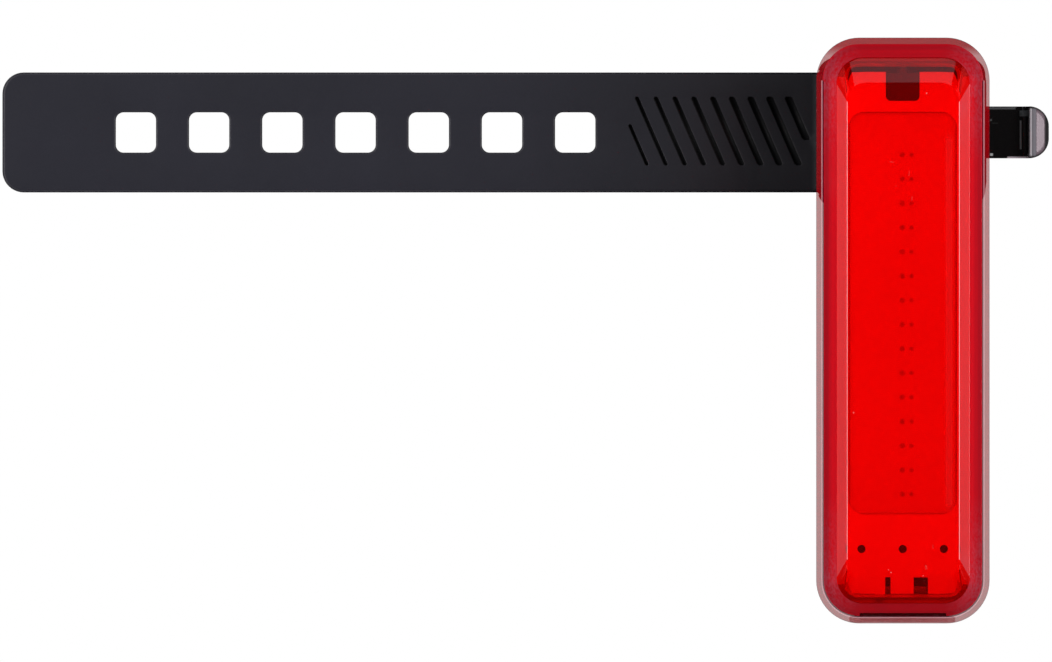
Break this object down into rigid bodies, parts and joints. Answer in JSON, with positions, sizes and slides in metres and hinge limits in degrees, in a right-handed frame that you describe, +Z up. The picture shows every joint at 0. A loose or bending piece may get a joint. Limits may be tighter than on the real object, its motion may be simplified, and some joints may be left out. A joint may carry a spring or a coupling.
{
  "type": "bike light",
  "caption": "Slim upright rear bike light: clear red faceted lens over a lamp row, post saddle and hook on the back, and a silicone strap with square holes.",
  "frame": {"origin": "on the axis of the seat post that the light straps to, level with the middle of the strap", "axes": "+Z up along the post, -Y the way the lens looks, strap towards -X and hook towards +X"},
  "size_m": [0.1273, 0.0258, 0.071],
  "materials": {
    "lens_acrylic": "deep red clear acrylic, polished",
    "seal_rubber": "soft black rubber, matte",
    "housing_plastic": "black moulded plastic, fine spark texture",
    "tray_plastic": "white moulded plastic, satin",
    "lamp_board": "white solder mask",
    "lamp_package": "pale lamp package",
    "diffuser_gel": "milky clear sheet",
    "contact_brass": "plated contact",
    "main_board": "green solder mask over glass fibre",
    "chip_plastic": "black chip package",
    "ceramic_part": "tan ceramic with tinned ends",
    "battery_foil": "silver laminated foil",
    "foam": "dark closed-cell foam",
    "nickel_strip": "nickel strip",
    "switch_plastic": "black switch body",
    "button_rubber": "black silicone rubber",
    "cover_silicone": "pale grey frosted silicone",
    "socket_steel": "tinned steel shell",
    "saddle_plastic": "glossy black moulded plastic",
    "pad_rubber": "dark grey rubber",
    "screw_steel": "zinc plated steel",
    "strap_silicone": "dark slate silicone, matte"
  },
  "bodies": {
    "light": {"lens": "lens_acrylic", "lens_gasket": "seal_rubber", "rear_housing": "housing_plastic", "reflector_tray": "tray_plastic", "led_board": "lamp_board", "led_chips": "lamp_package", "diffuser": "diffuser_gel", "lamp_pins": "contact_brass", "main_board": "main_board", "driver_chips": "chip_plastic", "chip_parts": "ceramic_part", "status_lamps": "lamp_package", "battery_cell": "battery_foil", "battery_foam": "foam", "battery_tabs": "nickel_strip", "switch_body": "switch_plastic", "usb_shell": "socket_steel", "usb_tongue": "switch_plastic", "saddle_bracket": "saddle_plastic", "saddle_pad": "pad_rubber", "bracket_screws": "screw_steel", "strap_pin": "screw_steel"},
    "strap": {"strap": "strap_silicone"},
    "button": {"button_cap": "button_rubber", "switch_plunger": "switch_plastic"},
    "cover": {"usb_cover": "cover_silicone"}
  },
  "joints": [
    {"name": "strap_hinge", "type": "hinge", "parent": "light", "child": "strap", "pos_m": [-0.00805, -0.014, 0], "axis": [0, 0, -1], "range_deg": [-20, 50], "stiffness_Nm_per_rad": 0.01},
    {"name": "button_press", "type": "slide", "parent": "light", "child": "button", "axis": [0, 0, -1], "range_m": [0, 0.0004], "stiffness_N_per_m": 1500},
    {"name": "cover_hinge", "type": "hinge", "parent": "light", "child": "cover", "pos_m": [0, -0.0182, -0.05885], "axis": [1, 0, 0], "range_deg": [0, 110]}
  ]
}
